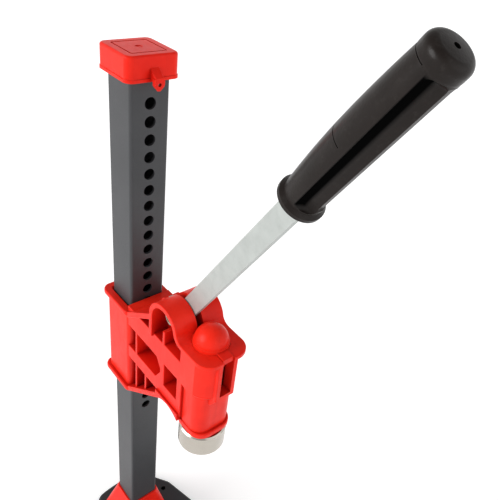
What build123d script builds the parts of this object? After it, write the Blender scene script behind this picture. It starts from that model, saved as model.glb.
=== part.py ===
from build123d import *
import math
import os

# Bench crown-cap capper, in millimetres.
# Origin: on the bench, on the axis of the square column. +Z is up. +X runs from
# the column to the bottle. The lever swings in the plane y = 0.

# ---------------------------------------------------------------- base
BASE_TOP = 15.0
BASE_SHEET = 2.0
PAD_THICKNESS = 2.0
BASE_REAR_X = -41.0
BASE_REAR_HALF = 28.0
BASE_SHOULDER_X = -9.0
BASE_SHOULDER_HALF = 50.0
BASE_FRONT_RADIUS = 75.0
BENCH_HOLE_X = (-5.0, 148.0)
BENCH_HOLE_HALF_Y = 39.0
BENCH_HOLE_RADIUS = 2.75

# ---------------------------------------------------------------- column
COLUMN_SIDE = 30.0
COLUMN_WALL = 2.0
COLUMN_CORNER = 2.5
COLUMN_TOP = 544.0
HOLE_PITCH = 12.9
HOLE_COUNT = 24
HOLE_RADIUS = 4.3
TOP_HOLE_Z = 515.0

# ---------------------------------------------------------------- red foot collar
COLLAR_TOP = 63.0
COLLAR_TOP_HALF = 17.0
COLLAR_BASE_HALF = 30.0
COLLAR_CORNER = 6.0
COLLAR_FIT_HALF = COLUMN_SIDE / 2 + 0.15
COLLAR_WALL = 3.2
FOOT_SCREW_OFFSET = 20.2

# ---------------------------------------------------------------- top cap
CAP_BOTTOM = 531.0
CAP_TOP = 547.5
CAP_HALF = 19.3
CAP_CORNER = 5.0

# ---------------------------------------------------------------- carriage
SLEEVE_HALF = 19.1
SLEEVE_CORNER = 5.5
SLEEVE_BOTTOM = 254.0
SLEEVE_TOP = 347.0
LIP_HALF = 22.3
LIP_THICKNESS = 4.5
PASSAGE_HALF = COLUMN_SIDE / 2 + 0.25
LEAD_IN_WIDTH = 1.3
LEAD_IN_DEPTH = 2.0
RIM_HALF = 21.0
CORE_HALF = 7.0
BAND_HALF = SLEEVE_HALF
BARREL_X = 100.3
EDGE_SOFTNESS = 0.6
UPPER_BARREL_RADIUS = 20.6
LOWER_BARREL_HALF = (14.6, 16.8)
LOWER_BARREL_CORNER = 10.5
BARREL_LIP_HALF = (17.2, 17.8)
FLANGE_TOP = 370.0
FLANGE_BOTTOM = 367.0
FLANGE_FRONT_X = 122.0
FRONT_SLOT_HALF = 4.9
LEVER_SLOT_HALF = 2.8
CAVITY_RADIUS = 13.8
CAVITY_BOTTOM = 325.0
SPRING_WELL_RADIUS = 11.5
SPRING_WELL_BOTTOM = 293.5
BARREL_BOTTOM = 286.5
ARCH = ((65, 290), (78, 295.6), (93, 290))

# ---------------------------------------------------------------- lever
PIVOT_X = 67.5
PIVOT_Z = 373.3
LEVER_ANGLE = 57.8
LEVER_SWING = 72.0
EAR_X = 69.3
EAR_Z = 370.6
EAR_RADIUS = 18.3
EAR_INNER_RADIUS = 14.2
EAR_BLEND_END = 94.5
BOSS_HALF = 7.2
WASHER_THICKNESS = 1.2
NUT_THICKNESS = 4.0
BOLT_RADIUS = 4.0
BUSH_RADIUS = 5.5
BAR_WIDTH = 14.5
BAR_THICKNESS = 4.0
CAM_LOW_RADIUS = 10.0
CAM_HIGH_RADIUS = 19.0
GRIP_START = 166.0
GRIP_LENGTH = 108.0
GRIP_POCKET = 62.0
GRIP_SHOULDER = 99.0
GRIP_FRONT = 10.7
FLUTE_RADIUS = 9.5
FLUTE_FLOOR = 7.6
FLUTE_ANGLE = 50.0

# ---------------------------------------------------------------- lock plate
LOCK_HOLE_INDEX = 14
LOCK_Z = TOP_HOLE_Z - LOCK_HOLE_INDEX * HOLE_PITCH
LOCK_TRAVEL = CAM_HIGH_RADIUS - CAM_LOW_RADIUS
LOCK_HALF = 2.5
NOSE_HALF_HEIGHT = 3.0

# ---------------------------------------------------------------- piston and bell
DOME_RADIUS = 13.5
DOME_RIM_Z = 373.0
DOME_TOP_Z = 385.0
DOME_LEDGE = 0.7
SKIRT_BOTTOM = 355.0
STEM_RADIUS = 8.0
BELL_RADIUS = 18.9
BELL_BOTTOM = 264.2
BELL_TOP = 284.5
BELL_ROOF = 3.0


def side_prism(sketch, y_low, y_high):
    """Extrude a profile drawn in x and z from y_low to y_high."""
    return extrude(Plane.XZ.offset(-y_high) * sketch, y_high - y_low)


def side_rect(x_low, x_high, z_low, z_high):
    """A rectangle in x and z."""
    centre = Pos((x_low + x_high) / 2, (z_low + z_high) / 2)
    return centre * Rectangle(x_high - x_low, z_high - z_low)


def outline(*points):
    """A straight-sided profile through the given points."""
    return make_face(Polyline(*points, close=True))


def block(x_low, x_high, y_half, z_low, z_high):
    """A box that is symmetric about y = 0."""
    centre = Pos((x_low + x_high) / 2, 0, (z_low + z_high) / 2)
    return centre * Box(x_high - x_low, 2 * y_half, z_high - z_low)


def square_post(half, corner, z_low, z_high, x=0.0):
    """An upright post with a rounded square section."""
    section = Plane.XY.offset(z_low) * Pos(x, 0) * RectangleRounded(2 * half, 2 * half, corner)
    return extrude(section, z_high - z_low)


def tapered_post(low_half, high_half, corner, z_low, z_high):
    """A rounded square post that narrows from the bottom to the top."""
    low = Plane.XY.offset(z_low) * RectangleRounded(2 * low_half, 2 * low_half, corner)
    high = Plane.XY.offset(z_high) * RectangleRounded(2 * high_half, 2 * high_half, corner)
    return loft([low, high])


def upright(radius, z_low, z_high, x=0.0, y=0.0):
    """A vertical cylinder."""
    return Pos(x, y, (z_low + z_high) / 2) * Cylinder(radius, z_high - z_low)


def soft_prism(sketch, y_half, softness):
    """A symmetric side prism whose two outer faces have rounded edges."""
    solid = side_prism(sketch, -y_half, y_half)
    rim = [edge for face in solid.faces().filter_by(Axis.Y) for edge in face.edges()]
    return fillet(rim, softness)


def cross_pin(radius, y_low, y_high, x, z):
    """A cylinder along y."""
    return side_prism(Pos(x, z) * Circle(radius), y_low, y_high)


def both_sides(sketch, y_low, y_high):
    """The same profile extruded on the -y side and on the +y side."""
    return side_prism(sketch, y_low, y_high) + side_prism(sketch, -y_high, -y_low)


# ==================================================================== base
def base_outline(inset=0.0):
    """Plan of the base: narrow behind the column, round in front of the bottle."""
    radius = BASE_FRONT_RADIUS - inset
    rear_x = BASE_REAR_X + inset
    rear = BASE_REAR_HALF - 0.5 * inset
    shoulder = BASE_SHOULDER_HALF - inset
    centre = Vector(BARREL_X, 0)
    reach = Vector(BARREL_X - BASE_SHOULDER_X, shoulder).length
    aim = math.degrees(math.atan2(shoulder, BASE_SHOULDER_X - BARREL_X))
    tangent = aim - math.degrees(math.acos(radius / reach))
    side = centre + Vector(radius, 0).rotate(Axis.Z, tangent)
    mirrored = Vector(side.X, -side.Y)
    edges = [
        ThreePointArc((rear_x, rear), (rear_x - 3, 0), (rear_x, -rear)),
        Line((rear_x, -rear), (BASE_SHOULDER_X, -shoulder)),
        Line((BASE_SHOULDER_X, -shoulder), mirrored),
        ThreePointArc(mirrored, (BARREL_X + radius, 0), side),
        Line(side, (BASE_SHOULDER_X, shoulder)),
        Line((BASE_SHOULDER_X, shoulder), (rear_x, rear)),
    ]
    return make_face(edges)


def rounded_base(inset, z_low, z_high, corner):
    """The base plan extruded, with its four upright corners rounded."""
    solid = extrude(Plane.XY.offset(z_low) * base_outline(inset), z_high - z_low)
    corners = solid.edges().filter_by(Axis.Z).sort_by(Axis.X)[:4]
    return fillet(corners, corner)


def bench_hole_places():
    return [(x, side * BENCH_HOLE_HALF_Y) for x in BENCH_HOLE_X for side in (-1, 1)]


def foot_screw_places():
    signs = [(-1, -1), (-1, 1), (1, -1), (1, 1)]
    return [(sx * FOOT_SCREW_OFFSET, sy * FOOT_SCREW_OFFSET) for sx, sy in signs]


def make_base_plate():
    """Pressed steel tray, open below, with bench holes and screw holes."""
    shell = rounded_base(0, PAD_THICKNESS, BASE_TOP, 12)
    shell = fillet(shell.faces().sort_by(Axis.Z)[-1].edges(), 3.0)
    shell -= rounded_base(BASE_SHEET, PAD_THICKNESS - 1, BASE_TOP - BASE_SHEET, 10)
    for x, y in bench_hole_places():
        shell -= upright(BENCH_HOLE_RADIUS, 0, BASE_TOP + 1, x, y)
    for x, y in foot_screw_places():
        shell -= upright(2.6, 0, BASE_TOP + 1, x, y)
    shell -= upright(4.4, 0, BASE_TOP + 1)
    return shell


def make_base_pad():
    """Rubber sheet under the tray that keeps it from sliding."""
    pad = rounded_base(0.4, 0, PAD_THICKNESS, 11)
    for x, y in bench_hole_places():
        pad -= upright(BENCH_HOLE_RADIUS + 1, -1, PAD_THICKNESS + 1, x, y)
    return pad


def make_bottle_mat():
    """Ribbed rubber disc that the bottle stands on, with a raised rim."""
    mat = upright(38, BASE_TOP, BASE_TOP + 3, BARREL_X)
    mat -= upright(34.5, BASE_TOP + 1.6, BASE_TOP + 4, BARREL_X)
    for radius in (8, 15, 22, 29):
        ring = upright(radius + 1, BASE_TOP + 1, BASE_TOP + 2.4, BARREL_X)
        ring -= upright(radius - 1, BASE_TOP, BASE_TOP + 4, BARREL_X)
        mat += ring
    return mat


# ==================================================================== column
def make_column_tube():
    """Square steel tube with one row of lock holes in its front wall."""
    tube = square_post(COLUMN_SIDE / 2, COLUMN_CORNER, BASE_TOP, COLUMN_TOP)
    inner = COLUMN_SIDE / 2 - COLUMN_WALL
    tube -= square_post(inner, 1.0, BASE_TOP - 1, COLUMN_TOP + 1)
    for index in range(HOLE_COUNT):
        z = TOP_HOLE_Z - index * HOLE_PITCH
        hole = Pos(COLUMN_SIDE / 2, 0, z) * Rot(0, 90, 0) * Cylinder(HOLE_RADIUS, 3 * COLUMN_WALL)
        tube -= hole
    return tube


def make_column_plug():
    """Threaded steel block in the bottom of the tube."""
    half = COLUMN_SIDE / 2 - COLUMN_WALL - 0.1
    plug = square_post(half, 1.2, BASE_TOP, BASE_TOP + 22)
    return plug - upright(BOLT_RADIUS, 0, BASE_TOP + 40)


def hex_prism(flats, z_low, z_high):
    """A hexagon head of the given width across flats."""
    section = Plane.XY.offset(z_low) * RegularPolygon(flats / 2, 6, major_radius=False)
    return extrude(section, z_high - z_low)


def make_column_bolt():
    """M8 bolt that clamps the column down from under the tray."""
    head_top = BASE_TOP - BASE_SHEET - 1.6
    bolt = hex_prism(13, head_top - 5.3, head_top)
    return bolt + upright(BOLT_RADIUS - 0.05, head_top, BASE_TOP + 20)


def make_column_washer():
    under = BASE_TOP - BASE_SHEET
    return upright(8.5, under - 1.6, under) - upright(4.2, under - 3, under + 1)


def make_column_foot():
    """Tapered collar round the foot of the column, cored from below."""
    collar = tapered_post(COLLAR_BASE_HALF, COLLAR_TOP_HALF, COLLAR_CORNER, BASE_TOP, COLLAR_TOP)
    collar = fillet(collar.faces().sort_by(Axis.Z)[-1].edges(), 1.0)
    core_top = COLLAR_TOP - 17
    slope = (COLLAR_BASE_HALF - COLLAR_TOP_HALF) / (COLLAR_TOP - BASE_TOP)
    low = COLLAR_BASE_HALF - COLLAR_WALL
    high = low - slope * (core_top - BASE_TOP)
    core = tapered_post(low, high, 4.0, BASE_TOP, core_top)
    core -= square_post(COLLAR_FIT_HALF + 2.4, 2.0, BASE_TOP - 1, core_top + 1)
    for x, y in foot_screw_places():
        core -= upright(5.0, BASE_TOP - 1, core_top + 1, x, y)
    collar -= core
    collar -= square_post(COLLAR_FIT_HALF, 2.4, BASE_TOP - 1, COLLAR_TOP + 1)
    for x, y in foot_screw_places():
        collar -= upright(2.1, BASE_TOP - 1, BASE_TOP + 16, x, y)
    return collar


def make_foot_screws():
    """Four self-tapping screws up through the tray into the collar."""
    screws = []
    under = BASE_TOP - BASE_SHEET
    for x, y in foot_screw_places():
        head = upright(4.6, under - 2.6, under, x, y)
        head -= Pos(x, y, under - 2.6) * Box(5, 1, 2)
        head -= Pos(x, y, under - 2.6) * Box(1, 5, 2)
        screws.append(head + upright(2.05, under, BASE_TOP + 14, x, y))
    return screws


def make_top_cap():
    """Moulded cap over the column, with a hanging eye on its front."""
    cap = square_post(CAP_HALF, CAP_CORNER, CAP_BOTTOM, CAP_TOP)
    cap = fillet(cap.faces().sort_by(Axis.Z)[-1].edges(), 1.8)
    bead = square_post(CAP_HALF + 0.5, CAP_CORNER + 0.5, CAP_BOTTOM, CAP_BOTTOM + 2.2)
    cap += fillet(bead.faces().sort_by(Axis.Z)[-1].edges(), 0.45)
    cap -= square_post(COLUMN_SIDE / 2 + 0.15, COLUMN_CORNER, CAP_BOTTOM - 1, COLUMN_TOP + 0.2)
    groove = square_post(13.4, 1.6, CAP_TOP - 0.6, CAP_TOP + 1)
    groove -= square_post(12.2, 1.0, CAP_TOP - 1, CAP_TOP + 2)
    cap -= groove
    cap -= upright(2.4, CAP_TOP - 0.4, CAP_TOP + 1)
    gusset = outline((19, 540), (26, 534.6), (26, 531.6), (19, 531.6))
    cap += soft_prism(gusset, 3.2, 0.5)
    eye = outline((23, 534), (23, 531), (24.2, 526.4), (25, 526.4), (26, 531), (26, 534))
    lug = side_prism(eye, -3.6, 3.6)
    drop = Plane.YZ.offset(20) * outline((-3.6, 534), (3.6, 534), (3.6, 529.6), (0.9, 526.2),
                                         (-0.9, 526.2), (-3.6, 529.6))
    cap += lug & extrude(drop, 10)
    return cap - Pos(24, 0, 530.6) * Rot(0, 90, 0) * Cylinder(1.3, 12)


# ==================================================================== carriage
def ramp_strip(x0, z0, x1, z1, depth):
    """A straight rim strip, its outer edge from one point to the other."""
    return outline((x0, z0), (x1, z1), (x1, z1 + depth), (x0, z0 + depth))


def side_profile():
    """Side view of the web between the sleeve and the barrel."""
    belly = [
        Line((10, SLEEVE_BOTTOM), (20, SLEEVE_BOTTOM)),
        Line((20, SLEEVE_BOTTOM), ARCH[0]),
        ThreePointArc(*ARCH),
        Line(ARCH[2], (ARCH[2][0], FLANGE_TOP)),
        Line((ARCH[2][0], FLANGE_TOP), (52, FLANGE_TOP)),
        Line((52, FLANGE_TOP), (20, SLEEVE_TOP)),
        Line((20, SLEEVE_TOP), (10, SLEEVE_TOP)),
        Line((10, SLEEVE_TOP), (10, SLEEVE_BOTTOM)),
    ]
    return make_face(belly)


def ear_ring():
    """Arch of the ear in side view, open below, blended into the flange."""
    left = EAR_X - EAR_RADIUS
    inner_left = EAR_X - EAR_INNER_RADIUS
    heel = 2.4
    inner_right = EAR_X + math.sqrt(EAR_INNER_RADIUS**2 - heel**2)
    ring = Pos(EAR_X, EAR_Z) * (Circle(EAR_RADIUS) - Circle(EAR_INNER_RADIUS))
    ring -= side_rect(left - 5, EAR_X, EAR_Z - 30, EAR_Z)
    ring -= side_rect(EAR_X, EAR_X + 30, EAR_Z - 30, EAR_Z + heel)
    ring += outline((left, EAR_Z), (inner_left, EAR_Z), (inner_left, 350), (left, 350))
    blend = [
        ThreePointArc((86.6, 375.9), (89.6, 371.6), (EAR_BLEND_END, FLANGE_TOP)),
        Line((EAR_BLEND_END, FLANGE_TOP), (EAR_BLEND_END, FLANGE_BOTTOM)),
        ThreePointArc((EAR_BLEND_END, FLANGE_BOTTOM), (86.6, 368.8), (inner_right, EAR_Z + heel)),
        Line((inner_right, EAR_Z + heel), (86.6, 375.9)),
    ]
    return ring + make_face(blend)


def arch_rim():
    """Rim along the arch between the lower ramp and the barrel."""
    edges = [
        Line((62, 289.5), ARCH[0]),
        ThreePointArc(*ARCH),
        Line(ARCH[2], (ARCH[2][0], 297.5)),
        Line((ARCH[2][0], 297.5), (62, 297.5)),
        Line((62, 297.5), (62, 289.5)),
    ]
    return make_face(edges)


def web_ribs():
    """Bands and ribs that stand out from the core to the sleeve's side."""
    ribs = side_rect(17, 97, 332, 352)
    ribs += side_rect(17, 94, 296, 309)
    ribs += side_rect(28.3, 31, 262, 350)
    ribs += side_rect(65.5, 70.8, 300, 345)
    ribs += side_rect(88, 94, 295, 352)
    ribs += side_rect(90.5, 97, 350, FLANGE_BOTTOM + 0.5)
    ribs += side_rect(43, 45.6, 274, 300)
    ribs += side_rect(67.2, 70, 350, 364)
    ribs += outline((60, 332), (66, 332), (66, 322))
    ribs += outline((59, 309), (66, 309), (66, 320))
    return ribs


def barrel_post(halves, corner, z_low, z_high):
    """A rounded rectangular post on the barrel's axis."""
    half_x, half_y = halves
    section = Plane.XY.offset(z_low) * Pos(BARREL_X, 0) * RectangleRounded(2 * half_x, 2 * half_y, corner)
    return extrude(section, z_high - z_low)


def slot_channel():
    """Thickened front of the barrel round its slot, sloped off below."""
    side = outline((108, FLANGE_BOTTOM), (121.6, FLANGE_BOTTOM), (121.6, 331.5), (115.6, 322.5),
                   (108, 322.5))
    return soft_prism(side, 8.8, 1.2)


def barrel_body():
    """Round upper barrel, rounded square lower barrel and its lip."""
    upper = upright(UPPER_BARREL_RADIUS, 333.5, FLANGE_TOP - 1, BARREL_X)
    shoulder = Pos(BARREL_X, 0, 330) * Cone(15.5, UPPER_BARREL_RADIUS, 7.0)
    body = (upper + shoulder) & block(70, 130, BAND_HALF, 300, 400)
    body += barrel_post(LOWER_BARREL_HALF, LOWER_BARREL_CORNER, 290, 334)
    body += block(91, BARREL_X, LOWER_BARREL_HALF[1], 293, 334)
    lip = barrel_post(BARREL_LIP_HALF, LOWER_BARREL_CORNER + 1.5, BARREL_BOTTOM, 291)
    body += fillet(lip.faces().sort_by(Axis.Z)[-1].edges(), 1.2)
    return body + slot_channel()


def flange_plate():
    """Flat top of the barrel with two rounded front corners."""
    plate = block(EAR_BLEND_END - 2, FLANGE_FRONT_X, RIM_HALF, FLANGE_BOTTOM, FLANGE_TOP)
    corners = plate.edges().filter_by(Axis.Z).sort_by(Axis.X)[-2:]
    plate = fillet(corners, 12.0)
    top = plate.faces().sort_by(Axis.Z)[-1]
    return fillet(top.edges().sort_by(Axis.X)[1:], 0.8)


def carriage_outside():
    """Everything that is added before the passages are cut."""
    body = square_post(SLEEVE_HALF, SLEEVE_CORNER, SLEEVE_BOTTOM, SLEEVE_TOP)
    for low in (SLEEVE_BOTTOM, SLEEVE_TOP - LIP_THICKNESS):
        lip = square_post(LIP_HALF, 7.5, low, low + LIP_THICKNESS)
        body += fillet(lip.edges().group_by(Axis.Z)[0] + lip.edges().group_by(Axis.Z)[-1], 1.2)
    body += side_prism(side_profile(), -CORE_HALF, CORE_HALF)
    rims = ramp_strip(18, 341, 52, 364.6, 5.6)
    rims += ramp_strip(18, 253.9, *ARCH[0], 5.6)
    rims += arch_rim()
    rims += ear_ring()
    body += soft_prism(rims, RIM_HALF, EDGE_SOFTNESS)
    body += soft_prism(web_ribs(), BAND_HALF, EDGE_SOFTNESS)
    body += cross_pin(EAR_RADIUS - 0.2, -CORE_HALF, CORE_HALF, EAR_X, EAR_Z)
    cheek = outline((44, 362), (46, 374), (48.5, 377), (56, 377), (56, 362))
    body += side_prism(cheek, -CORE_HALF + 0.5, CORE_HALF - 0.5)
    body += both_sides(Pos(PIVOT_X, PIVOT_Z) * Circle(9.0), CORE_HALF - 1, BOSS_HALF)
    return body + flange_plate() + barrel_body()


def make_carriage():
    """Moulded sliding head: sleeve, web, ears and barrel in one piece."""
    body = carriage_outside()
    body -= square_post(PASSAGE_HALF, 2.0, SLEEVE_BOTTOM - 1, SLEEVE_TOP + 1)
    body -= tapered_post(PASSAGE_HALF - LEAD_IN_WIDTH, PASSAGE_HALF + 2 * LEAD_IN_WIDTH, 2.0,
                         SLEEVE_TOP - 2 * LEAD_IN_DEPTH, SLEEVE_TOP + LEAD_IN_DEPTH)
    body -= block(10, 40, LEVER_SLOT_HALF, LOCK_Z - 3.3, LOCK_Z + 3.3)
    body -= block(38, 60, LEVER_SLOT_HALF, LOCK_Z - 4, 400)
    body -= block(46, BARREL_X, LEVER_SLOT_HALF, PIVOT_Z - 20.3, 400)
    window = Pos(79.5, 320.5) * RectangleRounded(17, 23, 1.5)
    body -= both_sides(window, LEVER_SLOT_HALF - 1, 30)
    body -= cross_pin(BOLT_RADIUS + 0.05, -30, 30, PIVOT_X, PIVOT_Z)
    body -= upright(CAVITY_RADIUS, CAVITY_BOTTOM, 400, BARREL_X)
    body -= upright(SPRING_WELL_RADIUS, SPRING_WELL_BOTTOM, 400, BARREL_X)
    body -= upright(STEM_RADIUS + 0.05, 200, 300, BARREL_X)
    body -= block(BARREL_X, 130, FRONT_SLOT_HALF, 334.5, 400)
    return body


# ==================================================================== pivot
def hexagon(y_low, y_high):
    """A hexagon of 13 mm across flats along y, its corners turned off."""
    hexagonal = side_prism(Pos(PIVOT_X, PIVOT_Z) * RegularPolygon(6.5, 6, major_radius=False), y_low, y_high)
    turned = cross_pin(7.55, y_low, y_high, PIVOT_X, PIVOT_Z)
    return hexagonal & chamfer(turned.edges().filter_by(GeomType.CIRCLE), 0.7)


def make_pivot_bolt():
    """Hexagon bolt through both ears."""
    under_head = BOSS_HALF + WASHER_THICKNESS
    bolt = cross_pin(BOLT_RADIUS, -under_head - NUT_THICKNESS - 0.5, under_head, PIVOT_X, PIVOT_Z)
    return bolt + hexagon(under_head, under_head + 5.3)


def make_pivot_nut():
    """Lock nut on the bolt's near end, with its rounded collar."""
    face = -BOSS_HALF - WASHER_THICKNESS
    solid = hexagon(face - NUT_THICKNESS, face)
    collar = cross_pin(5.6, face - NUT_THICKNESS - 1.5, face - NUT_THICKNESS, PIVOT_X, PIVOT_Z)
    solid += fillet(collar.edges().sort_by(Axis.Y)[0], 1.0)
    return solid - cross_pin(BOLT_RADIUS + 0.05, -30, 0, PIVOT_X, PIVOT_Z)


def make_pivot_washers():
    """One washer under the bolt head and one under the nut."""
    ring = Circle(7.9) - Circle(BOLT_RADIUS + 0.2)
    ring = Pos(PIVOT_X, PIVOT_Z) * ring
    outer = BOSS_HALF + WASHER_THICKNESS
    return [side_prism(ring, BOSS_HALF, outer), side_prism(ring, -outer, -BOSS_HALF)]


def make_pivot_bush():
    """Spacer tube between the ears that the lever turns on."""
    ring = Pos(PIVOT_X, PIVOT_Z) * (Circle(BUSH_RADIUS) - Circle(BOLT_RADIUS + 0.05))
    return side_prism(ring, -LEVER_SLOT_HALF, LEVER_SLOT_HALF)


# ==================================================================== lever
def lever_place():
    """Plane location with local x along the raised lever, from the pivot."""
    return Pos(PIVOT_X, PIVOT_Z) * Rot(0, 0, LEVER_ANGLE)


def cam_point(radius, angle):
    """A point of the cam, by its direction while the lever is raised."""
    turn = math.radians(angle)
    return (PIVOT_X + radius * math.cos(turn), PIVOT_Z + radius * math.sin(turn))


def cam_lobe():
    """Spiral lobe whose radius grows evenly over the lever's swing."""
    steps = 12
    rise = CAM_HIGH_RADIUS - CAM_LOW_RADIUS
    spiral = []
    for step in range(steps + 1):
        part = step / steps
        spiral.append(cam_point(CAM_LOW_RADIUS + part * rise, 180 + part * LEVER_SWING))
    end = cam_point(CAM_HIGH_RADIUS, 180 + LEVER_SWING + 8)
    middle = cam_point(CAM_HIGH_RADIUS, 180 + LEVER_SWING + 4)
    centre = (PIVOT_X, PIVOT_Z)
    edges = [
        Line(centre, spiral[0]),
        Spline(*spiral),
        ThreePointArc(spiral[-1], middle, end),
        Line(end, centre),
    ]
    return make_face(edges)


def make_lever_bar():
    """Flat steel bar with a round hub and the cam that works the lock plate."""
    length = GRIP_START + GRIP_POCKET
    bar = lever_place() * Pos(length / 2, 0) * Rectangle(length, BAR_WIDTH)
    hub = Pos(PIVOT_X, PIVOT_Z) * Circle(CAM_LOW_RADIUS)
    flat = bar + hub + cam_lobe()
    solid = soft_prism(flat, BAR_THICKNESS / 2, 0.3)
    return solid - cross_pin(BUSH_RADIUS + 0.06, -10, 10, PIVOT_X, PIVOT_Z)


def grip_blank():
    """Turned body of the grip: collar, bellied shaft and a flat-domed end."""
    end = GRIP_LENGTH
    edges = [
        Polyline((0, 0), (0, 11.6), (1.4, 13.6), (3.6, 13.6), (5.6, 11.6)),
        Spline((5.6, 11.6), (25, 12.7), (47, 13.2), (72, 12.7), (88, 11.9), (GRIP_SHOULDER, 11.1)),
        Polyline((GRIP_SHOULDER, 11.1), (GRIP_SHOULDER + 1, 11.2), (end - 4.8, 11.2)),
        ThreePointArc((end - 4.8, 11.2), (end - 1.69, 9.91), (end - 0.4, 6.8)),
        ThreePointArc((end - 0.4, 6.8), (end - 0.1, 3.4), (end, 0)),
        Line((end, 0), (0, 0)),
    ]
    return revolve(make_face(edges), Axis.X)


def flute_cutter(turn):
    """Long cutter with rounded ends for one finger flute."""
    start = 6.5
    length = GRIP_SHOULDER - start
    cutter = Cylinder(FLUTE_RADIUS, length)
    cutter = fillet(cutter.edges().filter_by(GeomType.CIRCLE), 4.0)
    lying = Pos(start + length / 2, 0, FLUTE_FLOOR + FLUTE_RADIUS) * Rot(0, 90, 0) * cutter
    return Rot(turn, 0, 0) * lying


def front_cutter():
    """Takes the shaft's front side down to a narrow ridge between the flutes."""
    length = GRIP_SHOULDER - 9
    cutter = Pos(9 + length / 2, -GRIP_FRONT - 5, 0) * Box(length, 10, 40)
    inner = cutter.edges().filter_by(Axis.Z).group_by(Axis.Y)[-1]
    return fillet(inner, 2.0)


def seam_groove(x, radius):
    """Shallow groove over the grip's back."""
    groove = Pos(x, 0, 0) * Rot(0, 90, 0) * (Cylinder(16, 0.6) - Cylinder(radius - 0.35, 2))
    return groove & (Pos(x, 10, 0) * Box(4, 20, 40))


def make_grip():
    """Moulded handle with two long finger flutes and a rounded end."""
    grip = grip_blank() - front_cutter()
    for turn in (FLUTE_ANGLE, 180 - FLUTE_ANGLE):
        grip -= flute_cutter(turn)
    grip -= seam_groove(GRIP_LENGTH / 2 - 4, 13.2)
    grip -= seam_groove(GRIP_SHOULDER + 0.5, 11.15)
    grip -= Pos(GRIP_LENGTH, 0, 0) * Rot(0, 90, 0) * Cylinder(1.6, 14)
    grip -= Pos(GRIP_POCKET / 2 - 1, 0, 0) * Box(GRIP_POCKET + 2, BAR_WIDTH, BAR_THICKNESS)
    frame = Plane(origin=(PIVOT_X, 0, PIVOT_Z), x_dir=(1, 0, 0), z_dir=(0, -1, 0))
    return frame * Rot(0, 0, LEVER_ANGLE) * Pos(GRIP_START, 0, 0) * grip


# ==================================================================== lock
def make_lock_plate():
    """Flat steel plate: follower nose at the cam, tongue at the column."""
    tip = PIVOT_X - CAM_LOW_RADIUS - 0.5
    front = tip - 3.4
    back = front - 6.0
    plate = side_rect(back, front, LOCK_Z - NOSE_HALF_HEIGHT, PIVOT_Z + 2.0)
    plate += side_rect(front - 1, tip - 1.5, PIVOT_Z - 1.5, PIVOT_Z + 1.5)
    plate += Pos(tip - 1.5, PIVOT_Z) * Circle(1.5)
    tongue_start = COLUMN_SIDE / 2 + 0.6
    low = LOCK_Z - NOSE_HALF_HEIGHT
    high = LOCK_Z + NOSE_HALF_HEIGHT
    plate += outline((back + 1, low), (back + 1, high), (tongue_start + 1.5, high),
                     (tongue_start, high - 1.5), (tongue_start, low + 1.5),
                     (tongue_start + 1.5, low))
    return side_prism(plate, -LOCK_HALF, LOCK_HALF)


# ==================================================================== piston and bell
def make_piston():
    """Domed push button with its skirt, guide key and stem."""
    rise = DOME_TOP_Z - DOME_RIM_Z
    crown_radius = DOME_RADIUS - DOME_LEDGE
    sphere = (crown_radius**2 + rise**2) / (2 * rise)
    half_way = sphere / math.sqrt(2)
    crown = (half_way, DOME_TOP_Z - sphere + half_way)
    edges = [
        Line((0, BELL_TOP), (STEM_RADIUS, BELL_TOP)),
        Line((STEM_RADIUS, BELL_TOP), (STEM_RADIUS, 364)),
        Line((STEM_RADIUS, 364), (11.2, 364)),
        Line((11.2, 364), (11.2, SKIRT_BOTTOM)),
        Line((11.2, SKIRT_BOTTOM), (DOME_RADIUS, SKIRT_BOTTOM)),
        Line((DOME_RADIUS, SKIRT_BOTTOM), (DOME_RADIUS, DOME_RIM_Z - 0.4)),
        Line((DOME_RADIUS, DOME_RIM_Z - 0.4), (crown_radius, DOME_RIM_Z)),
        ThreePointArc((crown_radius, DOME_RIM_Z), crown, (0, DOME_TOP_Z)),
        Line((0, DOME_TOP_Z), (0, BELL_TOP)),
    ]
    half = revolve(Plane.XZ * make_face(edges), Axis.Z)
    key = outline((12, 365.2), (12, 371.4), (20.2, 370.6), (20.2, 366.4), (19, 365.2))
    piston = half + side_prism(key, -4.3, 4.3)
    piston -= upright(2.6, BELL_TOP - 1, BELL_TOP + 26)
    return Pos(BARREL_X, 0, 0) * piston


def make_bell():
    """Nickel-plated crimping bell with its flared throat."""
    roof = BELL_TOP - BELL_ROOF
    edges = [
        Line((3.2, BELL_TOP), (BELL_RADIUS - 1.2, BELL_TOP)),
        Line((BELL_RADIUS - 1.2, BELL_TOP), (BELL_RADIUS, BELL_TOP - 1.2)),
        Line((BELL_RADIUS, BELL_TOP - 1.2), (BELL_RADIUS, BELL_BOTTOM + 1.0)),
        Line((BELL_RADIUS, BELL_BOTTOM + 1.0), (BELL_RADIUS - 1.0, BELL_BOTTOM)),
        Line((BELL_RADIUS - 1.0, BELL_BOTTOM), (17.0, BELL_BOTTOM)),
        ThreePointArc((17.0, BELL_BOTTOM), (14.9, BELL_BOTTOM + 2.4), (14.3, BELL_BOTTOM + 6)),
        Line((14.3, BELL_BOTTOM + 6), (14.3, roof)),
        Line((14.3, roof), (3.2, roof)),
        Line((3.2, roof), (3.2, BELL_TOP)),
    ]
    return Pos(BARREL_X, 0, 0) * revolve(Plane.XZ * make_face(edges), Axis.Z)


def make_bell_magnet():
    """Ring magnet that holds the crown cap in the bell."""
    roof = BELL_TOP - BELL_ROOF
    ring = upright(12.5, roof - 3, roof, BARREL_X)
    return ring - upright(6.2, roof - 4, roof + 1, BARREL_X)


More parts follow.
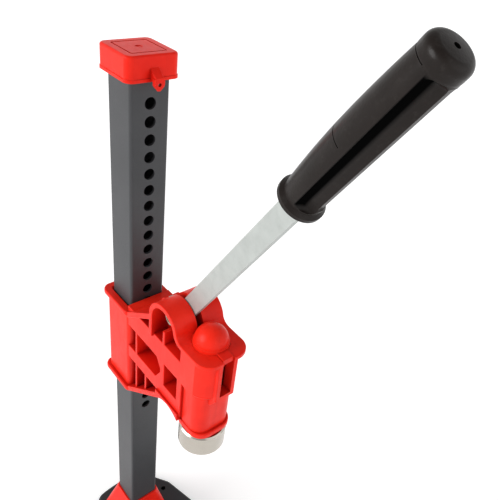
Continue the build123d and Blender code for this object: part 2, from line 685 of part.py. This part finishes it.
def make_bell_screw():
    """Socket screw that holds the bell on the stem."""
    roof = BELL_TOP - BELL_ROOF
    head = upright(5.6, roof - 2.8, roof, BARREL_X)
    socket = Plane.XY.offset(roof - 3.5) * Pos(BARREL_X, 0) * RegularPolygon(2.0, 6, False)
    head -= extrude(socket, 2.2)
    return head + upright(2.55, roof, BELL_TOP + 22, BARREL_X)


def make_return_spring():
    """Coil spring round the stem that lifts the piston."""
    wire = 1.0
    radius = 9.9
    bottom = SPRING_WELL_BOTTOM + 1.0 + wire + 0.1
    height = 364 - wire - 0.1 - bottom
    path = Helix(height / 10, height, radius)
    start = Plane(origin=path @ 0, z_dir=path % 0)
    coil = sweep(start * Circle(wire), path=path, is_frenet=True)
    return Pos(BARREL_X, 0, bottom) * coil


def make_spring_washer():
    """Steel seat under the spring."""
    seat = upright(11.3, SPRING_WELL_BOTTOM, SPRING_WELL_BOTTOM + 1.0, BARREL_X)
    return seat - upright(8.6, 280, 300, BARREL_X)


NODES = {
    "base_plate": make_base_plate,
    "base_pad": make_base_pad,
    "bottle_mat": make_bottle_mat,
    "column_tube": make_column_tube,
    "column_plug": make_column_plug,
    "column_bolt": make_column_bolt,
    "column_washer": make_column_washer,
    "column_foot": make_column_foot,
    "foot_screws": make_foot_screws,
    "top_cap": make_top_cap,
    "carriage": make_carriage,
    "pivot_bolt": make_pivot_bolt,
    "pivot_nut": make_pivot_nut,
    "pivot_washers": make_pivot_washers,
    "pivot_bush": make_pivot_bush,
    "spring_washer": make_spring_washer,
    "return_spring": make_return_spring,
    "lever_bar": make_lever_bar,
    "grip": make_grip,
    "lock_plate": make_lock_plate,
    "piston": make_piston,
    "bell": make_bell,
    "bell_magnet": make_bell_magnet,
    "bell_screw": make_bell_screw,
}


def main():
    os.makedirs("parts", exist_ok=True)
    for name, make in NODES.items():
        made = make()
        solids = made if isinstance(made, list) else made.solids()
        shape = solids[0] if len(solids) == 1 else Compound(children=list(solids))
        export_step(shape, f"parts/{name}.step")
        print(name, len(solids), round(sum(solid.volume for solid in solids)))


main()
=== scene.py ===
import math

import bmesh
import bpy
from mathutils import Matrix, Vector


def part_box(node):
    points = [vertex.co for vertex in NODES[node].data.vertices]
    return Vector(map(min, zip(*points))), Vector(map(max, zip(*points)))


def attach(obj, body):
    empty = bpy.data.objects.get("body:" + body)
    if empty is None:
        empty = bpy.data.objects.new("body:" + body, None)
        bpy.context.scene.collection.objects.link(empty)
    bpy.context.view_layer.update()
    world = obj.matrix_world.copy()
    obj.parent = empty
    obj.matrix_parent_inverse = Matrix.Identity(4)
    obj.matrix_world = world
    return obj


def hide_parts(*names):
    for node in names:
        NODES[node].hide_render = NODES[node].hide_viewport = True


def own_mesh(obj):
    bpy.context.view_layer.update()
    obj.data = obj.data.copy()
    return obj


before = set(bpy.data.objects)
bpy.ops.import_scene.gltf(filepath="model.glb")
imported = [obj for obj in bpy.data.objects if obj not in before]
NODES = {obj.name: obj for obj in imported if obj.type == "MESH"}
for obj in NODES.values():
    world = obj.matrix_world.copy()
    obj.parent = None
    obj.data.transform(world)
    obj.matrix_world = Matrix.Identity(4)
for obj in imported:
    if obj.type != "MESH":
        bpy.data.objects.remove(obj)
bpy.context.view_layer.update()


def middle(name):
    """The middle of a CAD node's box."""
    low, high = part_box(name)
    return (Vector(low) + Vector(high)) / 2


# Camera: metres, degrees and the millimetres of a full-frame sensor.
SENSOR = 36.0
LENS = 39.45
CLIP_NEAR = 0.01
CLIP_FAR = 20.0
CAMERA_PLACE = Vector((0.31488, -0.18601, 0.64548))
CAMERA_AZIMUTH = math.radians(45.43)
CAMERA_ELEVATION = math.radians(34.2)
CAMERA_ROLL = math.radians(8.15)

# Light: directions point towards the lamps, softness is a lamp's width in degrees.
FLOOR_HALF = 12.0
FLOOR_GLOW = 0.38
FLOOR_TONE = 0.9
WORLD_LOW = 1.0
WORLD_HIGH = 0.32
WORLD_FADE_FROM = 0.25
WORLD_FADE_TO = 0.75
KEY_TOWARDS = (-0.35, -1.0, 0.42)
KEY_SOFTNESS = 38
KEY_STRENGTH = 2.3
FILL_TOWARDS = (1.0, 0.25, 0.5)
FILL_SOFTNESS = 60
FILL_STRENGTH = 0.5

# Lever: slope when raised, and distances from the pivot along it.
PIVOT = Vector((middle("pivot_bush").x, 0, middle("pivot_bush").z))
LEVER_ANGLE = math.radians(57.8)
GRIP_START = 0.1660
# Where the grip's flutes, and the painted shade along them, begin and end.
FLUTE_FROM = GRIP_START + 0.0065
FLUTE_TO = GRIP_START + 0.099
FLUTE_FADE = 0.002

# Return spring in the barrel.
SPRING_X = middle("spring_washer").x
SPRING_RADIUS = 0.0099
SPRING_WIRE = 0.001
SPRING_GAP = 0.0001
SPRING_LENGTH = 0.0672
SPRING_TURNS = 9
SPRING_CLOSED_PITCH = 0.0022
SPRING_STEPS = 32
SPRING_SIDES = 12

# Base colours, as linear red, green and blue.
RED_DEEP = (0.70, 0.012, 0.005)
RED_BRIGHT = (0.86, 0.024, 0.010)
RED_STREAK = (0.50, 0.008, 0.004)
RED_SCUFF = (0.9, 0.12, 0.07)
RED_EDGE = (0.92, 0.10, 0.05)
# Painted shade for the red plastic's recesses.
RED_PAINTED_SHADE = (0.26, 0.0, 0.001)
COLUMN_DARK = (0.038, 0.039, 0.042)
COLUMN_LIGHT = (0.052, 0.053, 0.057)
COLUMN_WORN = (0.13, 0.13, 0.135)
BASE_DARK = (0.026, 0.027, 0.03)
BASE_LIGHT = (0.038, 0.039, 0.043)
BASE_WORN = (0.1, 0.1, 0.105)
ZINC = (0.56, 0.54, 0.46)
ZINC_BAR = (0.46, 0.485, 0.465)
ZINC_SPECK = (0.2, 0.2, 0.19)
ZINC_EDGE = (0.85, 0.86, 0.84)
WIRE_DARK = (0.20, 0.20, 0.21)
WIRE_LIGHT = (0.46, 0.46, 0.47)
NICKEL_DARK = (0.43, 0.40, 0.35)
NICKEL_LIGHT = (0.56, 0.52, 0.46)
NICKEL_SCRATCH = (0.3, 0.28, 0.26)
GRIP_DARK = (0.008, 0.006, 0.005)
GRIP_LIGHT = (0.017, 0.0125, 0.011)
GRIP_POLISH = (0.04, 0.035, 0.032)
GRIP_EDGE = (0.05, 0.045, 0.042)
# Painted shade for the grip's recesses and flute walls.
GRIP_PAINTED_SHADE = (0.002, 0.002, 0.002)
RUBBER_BLACK = (0.016, 0.016, 0.016)
RUBBER_DUST = (0.11, 0.105, 0.1)
FERRITE_DARK = (0.03, 0.03, 0.032)
FERRITE_LIGHT = (0.07, 0.07, 0.072)


# ---------------------------------------------------------------- shader helper
class Shade:
    """Builds one node material. Textures lie in the CAD frame, in metres."""

    def __init__(self, name):
        self.material = bpy.data.materials.new(name)
        self.material.use_nodes = True
        self.tree = self.material.node_tree
        self.bsdf = self.tree.nodes["Principled BSDF"]
        self.point = self.add("ShaderNodeTexCoord").outputs["Object"]

    def add(self, kind, **settings):
        """A new node with its properties set."""
        node = self.tree.nodes.new(kind)
        for key, value in settings.items():
            setattr(node, key, value)
        return node

    def link(self, source, target):
        self.tree.links.new(source, target)

    def drive(self, socket, source):
        """Let a value that varies over the surface set a socket of the surface shader."""
        self.link(source, self.bsdf.inputs[socket])

    def base(self, **values):
        """Set uniform values of the surface shader; underscores stand for spaces."""
        for key, value in values.items():
            self.bsdf.inputs[key.replace("_", " ")].default_value = value

    def scaled(self, x, y, z):
        """The texture point, stretched along the axes with a small scale."""
        mapping = self.add("ShaderNodeMapping")
        mapping.inputs["Scale"].default_value = (x, y, z)
        self.link(self.point, mapping.inputs["Vector"])
        return mapping.outputs["Vector"]

    def noise(self, scale, detail, roughness, vector=None):
        node = self.add("ShaderNodeTexNoise")
        node.inputs["Scale"].default_value = scale
        node.inputs["Detail"].default_value = detail
        node.inputs["Roughness"].default_value = roughness
        self.link(vector or self.point, node.inputs["Vector"])
        return node.outputs["Fac"]

    def ramp(self, value, low, high, start=0.0, end=1.0):
        """Low up to start, high from end on, and straight in between."""
        node = self.add("ShaderNodeMapRange")
        node.inputs["From Min"].default_value = start
        node.inputs["From Max"].default_value = end
        node.inputs["To Min"].default_value = low
        node.inputs["To Max"].default_value = high
        self.link(value, node.inputs["Value"])
        return node.outputs["Result"]

    def band(self, value, low, low_full, high_full, high):
        """Rises from low to low_full and falls from high_full to high."""
        rise = self.ramp(value, 0, 1, low, low_full)
        return self.math("MULTIPLY", rise, self.ramp(value, 1, 0, high_full, high))

    def math(self, operation, *terms):
        node = self.add("ShaderNodeMath", operation=operation)
        for socket, term in zip(node.inputs, terms):
            self.link(term, socket)
        return node.outputs["Value"]

    def mix(self, factor, first, second):
        """Blend two colours; each is a tuple or a socket."""
        node = self.add("ShaderNodeMix", data_type="RGBA")
        self.link(factor, node.inputs["Factor"])
        for socket, colour in ((node.inputs["A"], first), (node.inputs["B"], second)):
            if isinstance(colour, tuple):
                socket.default_value = (*colour, 1.0)
            else:
                self.link(colour, socket)
        return node.outputs["Result"]

    def edge(self, radius, amount=1.0):
        """The amount along sharp edges and 0 on open faces."""
        rounded = self.add("ShaderNodeBevel", samples=6)
        rounded.inputs["Radius"].default_value = radius
        compare = self.add("ShaderNodeVectorMath", operation="DOT_PRODUCT")
        self.link(rounded.outputs["Normal"], compare.inputs[0])
        self.link(self.add("ShaderNodeNewGeometry").outputs["Normal"], compare.inputs[1])
        return self.ramp(compare.outputs["Value"], amount, 0.0, 0.75, 0.97)

    def painted_crevice_shade(self, reach, amount=1.0):
        """Painted shade: the amount deep in the piece's own corners and recesses and 0 on open
        faces.
        """
        sky = self.add("ShaderNodeAmbientOcclusion", samples=8, only_local=True)
        sky.inputs["Distance"].default_value = reach
        return self.ramp(sky.outputs["AO"], amount, 0.0, 0.25, 0.85)

    def along(self, direction, origin):
        """Distance from a point of the CAD frame, measured along a direction."""
        shift = self.add("ShaderNodeVectorMath", operation="SUBTRACT")
        shift.inputs[1].default_value = origin
        self.link(self.point, shift.inputs[0])
        project = self.add("ShaderNodeVectorMath", operation="DOT_PRODUCT")
        project.inputs[1].default_value = direction
        self.link(shift.outputs["Vector"], project.inputs[0])
        return project.outputs["Value"]

    def bump(self, height, distance, strength, under=None):
        """A bumped normal, laid over another one if that is given."""
        node = self.add("ShaderNodeBump")
        node.inputs["Strength"].default_value = strength
        node.inputs["Distance"].default_value = distance
        self.link(height, node.inputs["Height"])
        if under is not None:
            self.link(under, node.inputs["Normal"])
        return node.outputs["Normal"]


# ---------------------------------------------------------------- materials
def red_plastic():
    """Glossy moulded plastic: flow marks, upright mould streaks, scuffs, paler edges, painted shade
    in recesses.
    """
    m = Shade("red_plastic_look")
    flow = m.noise(26, 3, 0.5)
    streak = m.noise(190, 3, 0.6, m.scaled(1, 1, 0.06))
    fine = m.noise(1100, 2, 0.5)
    scuff = m.noise(240, 6, 0.75, m.scaled(1, 1, 0.3))
    tone = m.mix(m.ramp(flow, 0, 1, 0.35, 0.68), RED_DEEP, RED_BRIGHT)
    tone = m.mix(m.ramp(streak, 0, 0.22, 0.5, 0.72), tone, RED_STREAK)
    tone = m.mix(m.ramp(scuff, 0, 0.16, 0.6, 0.78), tone, RED_SCUFF)
    tone = m.mix(m.edge(0.0007, 0.4), tone, RED_EDGE)
    # Painted shade: recesses darkened towards a deep red.
    tone = m.mix(m.painted_crevice_shade(0.016, 0.75), tone, RED_PAINTED_SHADE)
    m.drive("Base Color", tone)
    m.drive("Roughness", m.ramp(scuff, 0.27, 0.43, 0.3, 0.75))
    soft = m.bump(flow, 0.0005, 0.3)
    lines = m.bump(streak, 0.00005, 0.4, soft)
    m.drive("Normal", m.bump(fine, 0.00004, 0.3, lines))
    m.base(IOR=1.48, Specular_IOR_Level=0.13)
    return m.material


def powder_coat(name, dark, light, worn, grain):
    """Satin powder coat: orange peel, cloudy tone, fine dust, chipped edges."""
    m = Shade(name)
    cloud = m.noise(14, 4, 0.6)
    peel = m.noise(grain, 2, 0.5)
    rub = m.noise(70, 7, 0.72, m.scaled(1, 1, 0.12))
    dust = m.noise(1900, 3, 0.6)
    tone = m.mix(m.ramp(cloud, 0, 1, 0.3, 0.7), dark, light)
    tone = m.mix(m.ramp(rub, 0, 0.25, 0.64, 0.8), tone, worn)
    tone = m.mix(m.ramp(dust, 0, 0.2, 0.62, 0.75), tone, worn)
    chipped = m.math("MULTIPLY", m.edge(0.0008), m.ramp(rub, 0.05, 0.75, 0.4, 0.7))
    m.drive("Base Color", m.mix(chipped, tone, worn))
    m.drive("Roughness", m.ramp(peel, 0.38, 0.55))
    m.drive("Normal", m.bump(peel, 0.0001, 0.5))
    m.base(Specular_IOR_Level=0.36)
    return m.material


def zinc_steel(name, tint, stretch, metallic, smoothest):
    """Zinc-plated steel: rolling lines, cloudy passivation, dark specks, bright edges."""
    m = Shade(name)
    shaded = tuple(0.84 * part for part in tint)
    lined = tuple(0.7 * part for part in tint)
    cloud = m.noise(45, 5, 0.6)
    lines = m.noise(420, 3, 0.6, m.scaled(*stretch))
    speck = m.noise(1300, 2, 0.5)
    tone = m.mix(m.ramp(cloud, 0, 1, 0.3, 0.7), shaded, tint)
    tone = m.mix(m.ramp(lines, 0, 0.3, 0.5, 0.75), tone, lined)
    tone = m.mix(m.ramp(speck, 0, 0.35, 0.68, 0.78), tone, ZINC_SPECK)
    tone = m.mix(m.edge(0.0005, 0.6), tone, ZINC_EDGE)
    m.drive("Base Color", tone)
    m.drive("Roughness", m.ramp(lines, smoothest, smoothest + 0.26))
    m.drive("Normal", m.bump(lines, 0.00006, 0.5))
    m.base(Metallic=metallic)
    return m.material


def spring_steel():
    """Drawn wire: cloudy oiled steel with a fine texture in flat layers."""
    m = Shade("spring_look")
    cloud = m.noise(120, 5, 0.65)
    drawn = m.noise(1600, 2, 0.5, m.scaled(1, 1, 4))
    m.drive("Base Color", m.mix(m.ramp(cloud, 0, 1, 0.3, 0.7), WIRE_DARK, WIRE_LIGHT))
    m.drive("Roughness", m.ramp(drawn, 0.22, 0.42))
    m.drive("Normal", m.bump(drawn, 0.00003, 0.5))
    m.base(Metallic=0.95)
    return m.material


def nickel():
    """Bright nickel plating with turned rings and a few fine scratches."""
    m = Shade("nickel_look")
    rings = m.noise(1500, 2, 0.5, m.scaled(0.02, 0.02, 1))
    cloud = m.noise(60, 4, 0.6)
    scratch = m.noise(500, 5, 0.8, m.scaled(0.15, 1, 1))
    tone = m.mix(cloud, NICKEL_DARK, NICKEL_LIGHT)
    m.drive("Base Color", m.mix(m.ramp(scratch, 0, 0.4, 0.66, 0.8), tone, NICKEL_SCRATCH))
    m.drive("Roughness", m.ramp(rings, 0.14, 0.3))
    m.drive("Normal", m.bump(rings, 0.00003, 0.5))
    m.base(Metallic=1.0)
    return m.material


def painted_flute_shade(m):
    """Painted shade: 1 on the flutes' walls next to the grip's back and 0 elsewhere."""
    length = m.along((math.cos(LEVER_ANGLE), 0, math.sin(LEVER_ANGLE)), PIVOT)
    front = m.along((math.sin(LEVER_ANGLE), 0, -math.cos(LEVER_ANGLE)), PIVOT)
    aside = m.math("ABSOLUTE", m.along((0, 1, 0), PIVOT))
    turn = m.math("ARCTAN2", front, aside)
    inside = m.band(length, FLUTE_FROM, FLUTE_FROM + FLUTE_FADE, FLUTE_TO - FLUTE_FADE, FLUTE_TO)
    return m.math("MULTIPLY", inside, m.band(turn, 0.26, 0.31, 0.72, 1.02))


def grip_plastic():
    """Near-black satin plastic: pebbled grain, polished spots, painted shade deep in the flutes."""
    m = Shade("grip_look")
    cells = m.add("ShaderNodeTexVoronoi", feature="SMOOTH_F1")
    cells.inputs["Scale"].default_value = 800
    m.link(m.point, cells.inputs["Vector"])
    cloud = m.noise(60, 5, 0.6)
    polish = m.noise(300, 4, 0.7)
    # Painted shade: near-black without reflection in the grip's recesses and along the flutes'
    # upper walls.
    painted_shade = m.math("MAXIMUM", m.painted_crevice_shade(0.012), painted_flute_shade(m))
    tone = m.mix(cloud, GRIP_DARK, GRIP_LIGHT)
    tone = m.mix(m.ramp(polish, 0, 0.3, 0.55, 0.75), tone, GRIP_POLISH)
    tone = m.mix(m.edge(0.0008, 0.5), tone, GRIP_EDGE)
    m.drive("Base Color", m.mix(painted_shade, tone, GRIP_PAINTED_SHADE))
    m.drive("Specular IOR Level", m.ramp(painted_shade, 0.16, 0.0))
    m.drive("Roughness", m.ramp(cloud, 0.24, 0.4))
    m.drive("Normal", m.bump(cells.outputs["Distance"], 0.00009, 0.4))
    return m.material


def rubber():
    """Dull black rubber with dust in its texture."""
    m = Shade("rubber_look")
    dust = m.noise(240, 6, 0.7)
    grain = m.noise(1600, 2, 0.5)
    m.drive("Base Color", m.mix(m.ramp(dust, 0, 0.35, 0.55, 0.8), RUBBER_BLACK, RUBBER_DUST))
    m.drive("Roughness", m.ramp(grain, 0.62, 0.85))
    m.drive("Normal", m.bump(grain, 0.0001, 0.6))
    return m.material


def ferrite():
    """Grey-black sintered magnet with a chalky grain."""
    m = Shade("ferrite_look")
    grain = m.noise(900, 5, 0.7)
    m.drive("Base Color", m.mix(m.ramp(grain, 0, 1, 0.35, 0.7), FERRITE_DARK, FERRITE_LIGHT))
    m.drive("Roughness", m.ramp(grain, 0.5, 0.75))
    m.drive("Normal", m.bump(grain, 0.0001, 0.5))
    return m.material


def dress(material, *names):
    """Give CAD nodes a detailed material."""
    for name in names:
        slots = NODES[name].data.materials
        if not slots:
            slots.append(material)
        for index in range(len(slots)):
            slots[index] = material


# ---------------------------------------------------------------- return spring
def spring_line(seat):
    """Points along the middle of the wire, with a closed turn at each end."""
    line = []
    for step in range(SPRING_TURNS * SPRING_STEPS + 1):
        turns = step / SPRING_STEPS
        if turns < 1:
            climb = SPRING_CLOSED_PITCH * turns
        elif turns > SPRING_TURNS - 1:
            climb = SPRING_LENGTH - SPRING_CLOSED_PITCH * (SPRING_TURNS - turns)
        else:
            open_part = (turns - 1) / (SPRING_TURNS - 2)
            climb = SPRING_CLOSED_PITCH + open_part * (SPRING_LENGTH - 2 * SPRING_CLOSED_PITCH)
        angle = 2 * math.pi * turns
        x = SPRING_X + SPRING_RADIUS * math.cos(angle)
        y = SPRING_RADIUS * math.sin(angle)
        line.append(Vector((x, y, seat + climb)))
    return line


def wire_ring(shape, point, ahead):
    """Corner points of the wire's round section, square to its direction."""
    from_axis = Vector((point.x - SPRING_X, point.y, 0)).normalized()
    across = ahead.cross(from_axis).normalized()
    outward = across.cross(ahead)
    ring = []
    for side in range(SPRING_SIDES):
        turn = 2 * math.pi * side / SPRING_SIDES
        corner = math.cos(turn) * outward + math.sin(turn) * across
        ring.append(shape.verts.new(point + SPRING_WIRE * corner))
    return ring


def wind_wire(name, line, material):
    """A closed mesh tube of wire along a line of points."""
    shape = bmesh.new()
    rings = []
    for before, point, after in zip(line[:1] + line, line, line[1:] + line[-1:]):
        rings.append(wire_ring(shape, point, (after - before).normalized()))
    for low, high in zip(rings, rings[1:]):
        for side in range(SPRING_SIDES):
            following = (side + 1) % SPRING_SIDES
            shape.faces.new((low[side], low[following], high[following], high[side]))
    shape.faces.new(list(reversed(rings[0])))
    shape.faces.new(rings[-1])
    bmesh.ops.recalc_face_normals(shape, faces=shape.faces)
    mesh = bpy.data.meshes.new(name)
    shape.to_mesh(mesh)
    shape.free()
    mesh.shade_smooth()
    mesh.materials.append(material)
    piece = bpy.data.objects.new(name, mesh)
    bpy.context.scene.collection.objects.link(piece)
    return piece


def make_coil_spring():
    """The return spring, wound on the spring washer and attached to the carriage in place of the
    CAD spring.
    """
    washer_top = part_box("spring_washer")[1][2]
    seat = washer_top + SPRING_WIRE + SPRING_GAP
    coil = wind_wire("coil_spring", spring_line(seat), spring_steel())
    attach(coil, "carriage")
    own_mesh(coil)
    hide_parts("return_spring")


# ---------------------------------------------------------------- stage
def make_camera():
    """The photo's camera, tilted down and rolled a little."""
    back = Vector((
        math.sin(CAMERA_AZIMUTH) * math.cos(CAMERA_ELEVATION),
        -math.cos(CAMERA_AZIMUTH) * math.cos(CAMERA_ELEVATION),
        math.sin(CAMERA_ELEVATION),
    ))
    right = Vector((0, 0, 1)).cross(back).normalized()
    up = back.cross(right)
    side = math.cos(CAMERA_ROLL) * right + math.sin(CAMERA_ROLL) * up
    top = math.cos(CAMERA_ROLL) * up - math.sin(CAMERA_ROLL) * right
    data = bpy.data.cameras.new("camera")
    data.lens = LENS
    data.sensor_width = SENSOR
    data.clip_start = CLIP_NEAR
    data.clip_end = CLIP_FAR
    camera = bpy.data.objects.new("camera", data)
    bpy.context.scene.collection.objects.link(camera)
    turn = Matrix((side, top, back)).transposed().to_4x4()
    camera.matrix_world = Matrix.Translation(CAMERA_PLACE) @ turn
    bpy.context.scene.camera = camera


def make_sun(name, towards_light, softness, strength):
    """A soft distant lamp, given by the direction that the light comes from."""
    data = bpy.data.lights.new(name, "SUN")
    data.angle = math.radians(softness)
    data.energy = strength
    lamp = bpy.data.objects.new(name, data)
    bpy.context.scene.collection.objects.link(lamp)
    lamp.location = Vector(towards_light).normalized() * 2
    lamp.rotation_mode = "QUATERNION"
    lamp.rotation_quaternion = (-Vector(towards_light)).to_track_quat("-Z", "Y")


def make_world():
    """White near the horizon, greyer overhead, like a studio with wall lights."""
    world = bpy.data.worlds.new("world")
    bpy.context.scene.world = world
    world.use_nodes = True
    tree = world.node_tree
    direction = tree.nodes.new("ShaderNodeTexCoord").outputs["Generated"]
    split = tree.nodes.new("ShaderNodeSeparateXYZ")
    tree.links.new(direction, split.inputs["Vector"])
    fade = tree.nodes.new("ShaderNodeMapRange")
    fade.inputs["From Min"].default_value = WORLD_FADE_FROM
    fade.inputs["From Max"].default_value = WORLD_FADE_TO
    fade.inputs["To Min"].default_value = WORLD_LOW
    fade.inputs["To Max"].default_value = WORLD_HIGH
    tree.links.new(split.outputs["Z"], fade.inputs["Value"])
    background = tree.nodes["Background"]
    background.inputs["Color"].default_value = (1, 1, 1, 1)
    tree.links.new(fade.outputs["Result"], background.inputs["Strength"])


def make_floor():
    """A plain pale floor with a faint glow, so that it stays white in the picture."""
    mesh = bpy.data.meshes.new("floor")
    half = FLOOR_HALF
    corners = [(-half, -half, 0), (half, -half, 0), (half, half, 0), (-half, half, 0)]
    mesh.from_pydata(corners, [], [(0, 1, 2, 3)])
    floor = bpy.data.objects.new("floor", mesh)
    bpy.context.scene.collection.objects.link(floor)
    m = Shade("floor_look")
    m.base(Base_Color=(FLOOR_TONE, FLOOR_TONE, FLOOR_TONE, 1), Roughness=0.95)
    m.base(Emission_Color=(1, 1, 1, 1), Emission_Strength=FLOOR_GLOW)
    mesh.materials.append(m.material)


# ---------------------------------------------------------------- build
make_camera()
make_floor()
make_world()
make_sun("key", KEY_TOWARDS, KEY_SOFTNESS, KEY_STRENGTH)
make_sun("fill", FILL_TOWARDS, FILL_SOFTNESS, FILL_STRENGTH)
bpy.context.scene.view_settings.view_transform = "Standard"

make_coil_spring()
dress(red_plastic(), "carriage", "top_cap", "column_foot", "piston")
dress(powder_coat("column_look", COLUMN_DARK, COLUMN_LIGHT, COLUMN_WORN, grain=1500), "column_tube")
dress(powder_coat("base_look", BASE_DARK, BASE_LIGHT, BASE_WORN, grain=900), "base_plate")
dress(rubber(), "base_pad", "bottle_mat")
dress(
    zinc_steel("zinc_look", ZINC, stretch=(1, 1, 1), metallic=0.9, smoothest=0.26),
    "column_plug", "column_bolt", "column_washer", "foot_screws", "pivot_bolt", "pivot_nut",
    "pivot_washers", "pivot_bush", "spring_washer", "lock_plate", "bell_screw",
)
dress(
    zinc_steel("bar_look", ZINC_BAR, stretch=(0.35, 1, 0.35), metallic=0.45, smoothest=0.4),
    "lever_bar",
)
dress(nickel(), "bell")
dress(ferrite(), "bell_magnet")
dress(grip_plastic(), "grip")
